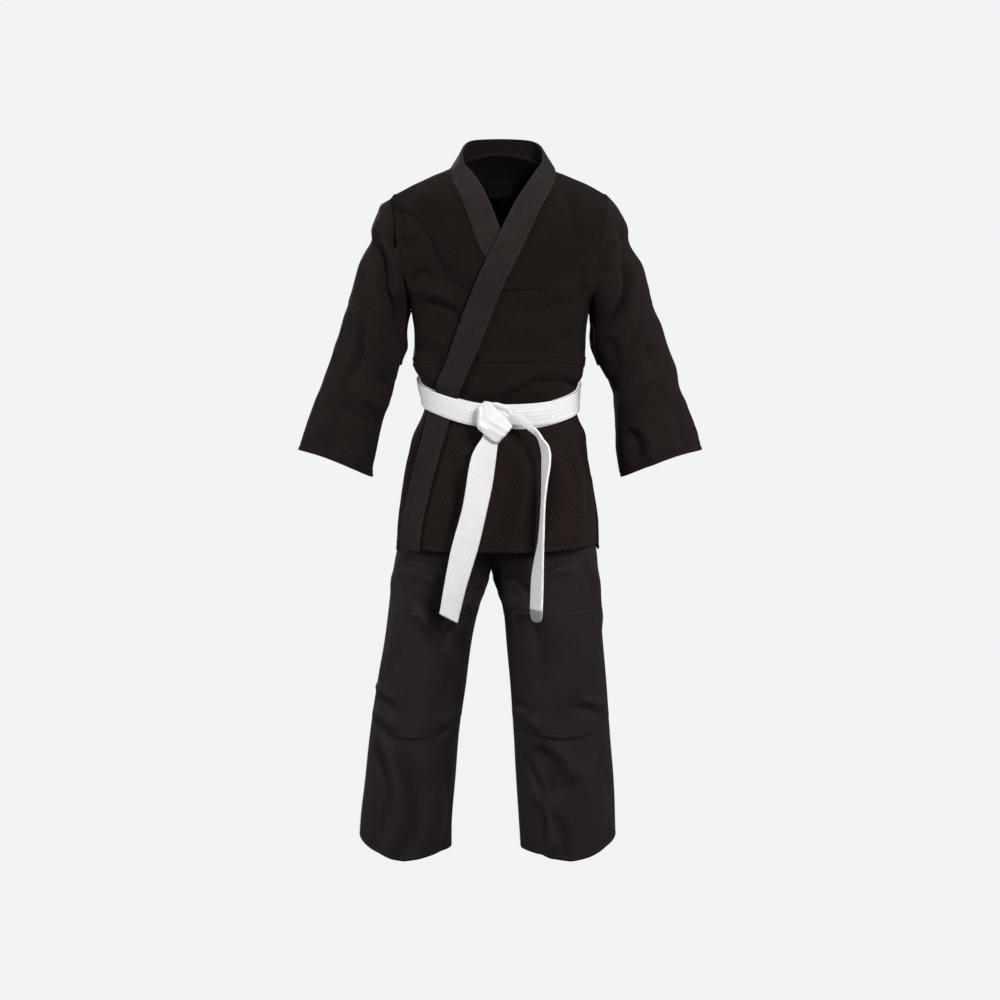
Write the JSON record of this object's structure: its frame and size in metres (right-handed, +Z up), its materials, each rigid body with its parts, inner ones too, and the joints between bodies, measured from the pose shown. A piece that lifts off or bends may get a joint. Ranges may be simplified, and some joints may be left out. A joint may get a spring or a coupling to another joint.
{
  "type": "martial arts uniform",
  "caption": "Black wrapped martial arts uniform standing as if worn: jacket with quilted lapels and yokes, knotted white belt, wide trousers with knee patches.",
  "frame": {"origin": "floor level under the middle of the uniform's bounding box, at the trouser hems", "axes": "+Z up along the body, front towards -Y, wearer's left towards +X"},
  "size_m": [0.7774, 0.318, 1.3738],
  "materials": {
    "pearl_weave": "matte black cotton with a small pearl weave",
    "quilted_yoke": "matte black cotton, quilted in rows",
    "ribbed_lapel": "smooth black cotton drill with parallel stitch rows",
    "plain_lining": "plain black cotton",
    "diamond_weave": "matte black cotton with a diamond weave",
    "trouser_twill": "black cotton twill, slightly smooth",
    "cord": "braided cotton cord",
    "belt_cotton": "white cotton belt with stitch rows along it",
    "grey_tip": "plain grey woven end"
  },
  "bodies": {
    "jacket": {"front_panel_left": "pearl_weave", "front_panel_right": "pearl_weave", "back_panel_left": "pearl_weave", "back_panel_right": "pearl_weave", "shoulder_yoke_left": "quilted_yoke", "shoulder_yoke_right": "quilted_yoke", "back_yoke": "quilted_yoke", "inner_yoke_lining": "plain_lining", "lapel_left": "ribbed_lapel", "lapel_right": "ribbed_lapel", "collar_band": "ribbed_lapel", "neck_tab": "plain_lining", "waist_seam_tape": "pearl_weave", "belt_inner_turn": "belt_cotton", "belt_outer_turn": "belt_cotton", "belt_knot": "belt_cotton"},
    "left_sleeve": {"sleeve_upper_left": "pearl_weave", "sleeve_lower_left": "pearl_weave", "cuff_hem_left": "pearl_weave", "underarm_gusset_left": "pearl_weave"},
    "right_sleeve": {"sleeve_upper_right": "pearl_weave", "sleeve_lower_right": "pearl_weave", "cuff_hem_right": "pearl_weave", "underarm_gusset_right": "pearl_weave"},
    "under_skirt": {"skirt_front_under": "diamond_weave", "lapel_tail_right": "ribbed_lapel"},
    "outer_skirt": {"skirt_front_outer": "diamond_weave", "skirt_hem_outer": "diamond_weave", "lapel_tail_left": "ribbed_lapel"},
    "wide_belt_end": {"belt_end_wide": "belt_cotton"},
    "narrow_belt_end": {"belt_end_narrow": "belt_cotton", "belt_end_tip": "grey_tip"},
    "back_skirt": {"skirt_back_left": "diamond_weave", "skirt_back_right": "diamond_weave", "skirt_hem_back": "diamond_weave"},
    "trousers": {"trouser_seat_front": "trouser_twill", "trouser_seat_back": "trouser_twill", "waistband": "trouser_twill", "drawstring": "cord"},
    "left_leg": {"leg_front_left": "trouser_twill", "leg_back_left": "trouser_twill", "knee_patch_left": "trouser_twill", "leg_hem_front_left": "trouser_twill", "leg_hem_back_left": "trouser_twill", "crotch_gusset_left": "trouser_twill"},
    "right_leg": {"leg_front_right": "trouser_twill", "leg_back_right": "trouser_twill", "knee_patch_right": "trouser_twill", "leg_hem_front_right": "trouser_twill", "leg_hem_back_right": "trouser_twill", "crotch_gusset_right": "trouser_twill"}
  },
  "joints": [
    {"name": "left_sleeve_raise", "type": "hinge", "parent": "jacket", "child": "left_sleeve", "pos_m": [0.2, 0.0127, 1.267], "axis": [0, -1, 0], "range_deg": [0, 70]},
    {"name": "right_sleeve_raise", "type": "hinge", "parent": "jacket", "child": "right_sleeve", "pos_m": [-0.2, 0.0127, 1.267], "axis": [0, 1, 0], "range_deg": [0, 70]},
    {"name": "outer_skirt_lift", "type": "hinge", "parent": "jacket", "child": "outer_skirt", "pos_m": [0, -0.1113, 0.834], "axis": [-1, 0, 0], "range_deg": [0, 28]},
    {"name": "under_skirt_lift", "type": "hinge", "parent": "jacket", "child": "under_skirt", "pos_m": [0, -0.1113, 0.834], "axis": [-1, 0, 0], "range_deg": [0, 20]},
    {"name": "wide_end_swing", "type": "hinge", "parent": "outer_skirt", "child": "wide_belt_end", "pos_m": [-0.02, -0.1113, 0.834], "axis": [-1, 0, 0], "range_deg": [0, 40]},
    {"name": "narrow_end_swing", "type": "hinge", "parent": "outer_skirt", "child": "narrow_belt_end", "pos_m": [0.07, -0.1113, 0.834], "axis": [-1, 0, 0], "range_deg": [0, 40]},
    {"name": "back_skirt_lift", "type": "hinge", "parent": "jacket", "child": "back_skirt", "pos_m": [0, 0.1207, 0.811], "axis": [1, 0, 0], "range_deg": [0, 35]},
    {"name": "trousers_off", "type": "slide", "parent": "jacket", "child": "trousers", "axis": [0, 0, -1], "range_m": [0, 0.3]},
    {"name": "left_leg_swing", "type": "hinge", "parent": "trousers", "child": "left_leg", "pos_m": [0.1, 0.0127, 0.559], "axis": [-1, 0, 0], "range_deg": [-20, 20]},
    {"name": "right_leg_swing", "type": "hinge", "parent": "trousers", "child": "right_leg", "pos_m": [-0.1, 0.0127, 0.559], "axis": [-1, 0, 0], "range_deg": [-20, 20]}
  ],
  "couplings": [
    {"joint": "under_skirt_lift", "follows": "outer_skirt_lift", "ratio": 0.7}
  ]
}
